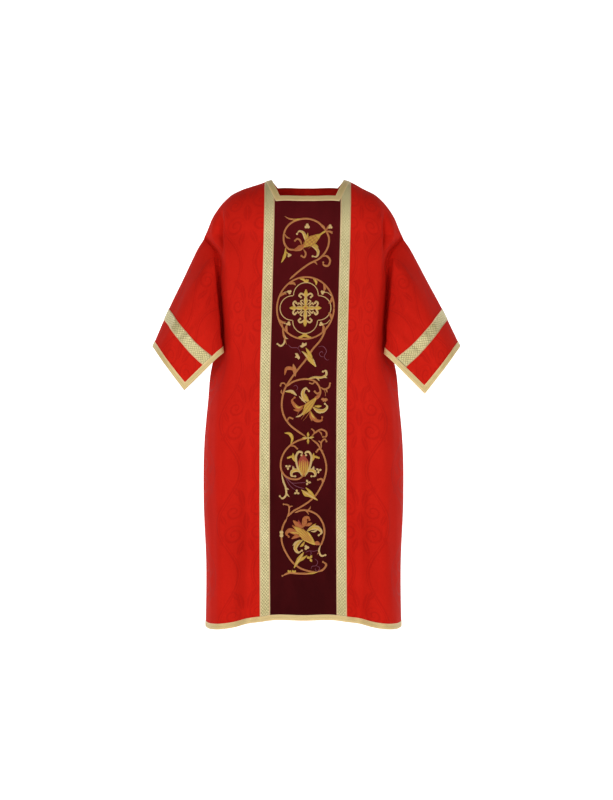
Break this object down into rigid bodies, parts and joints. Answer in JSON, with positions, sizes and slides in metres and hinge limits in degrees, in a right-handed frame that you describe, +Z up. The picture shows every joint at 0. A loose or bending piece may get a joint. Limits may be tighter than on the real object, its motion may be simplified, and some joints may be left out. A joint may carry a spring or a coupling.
{
  "type": "dalmatic vestment",
  "caption": "Hollow worn dalmatic: straight red damask body, open-sided sleeves, velvet orphrey down the front, gold galloon and edge braid.",
  "frame": {"origin": "midway between the two points where the neckline meets the shoulders, at the height of the shoulder line there", "axes": "+Z up the worn garment; front faces -Y; +X to the wearer's left"},
  "size_m": [0.8228, 0.3096, 1.1894],
  "materials": {
    "red_damask": "tone-on-tone figured damask, satin and matt",
    "wine_velvet": "short-pile velvet",
    "gold_galloon": "metallic woven galloon",
    "gold_braid": "metallic woven braid"
  },
  "bodies": {
    "root": {"front_body": "red_damask", "back_body": "red_damask", "left_sleeve": "red_damask", "right_sleeve": "red_damask", "orphrey_panel": "wine_velvet", "left_galloon": "gold_galloon", "right_galloon": "gold_galloon", "left_sleeve_band": "gold_galloon", "right_sleeve_band": "gold_galloon", "neck_braid": "gold_braid", "hem_braid": "gold_braid", "left_sleeve_edge_braid": "gold_braid", "right_sleeve_edge_braid": "gold_braid"}
  },
  "joints": []
}
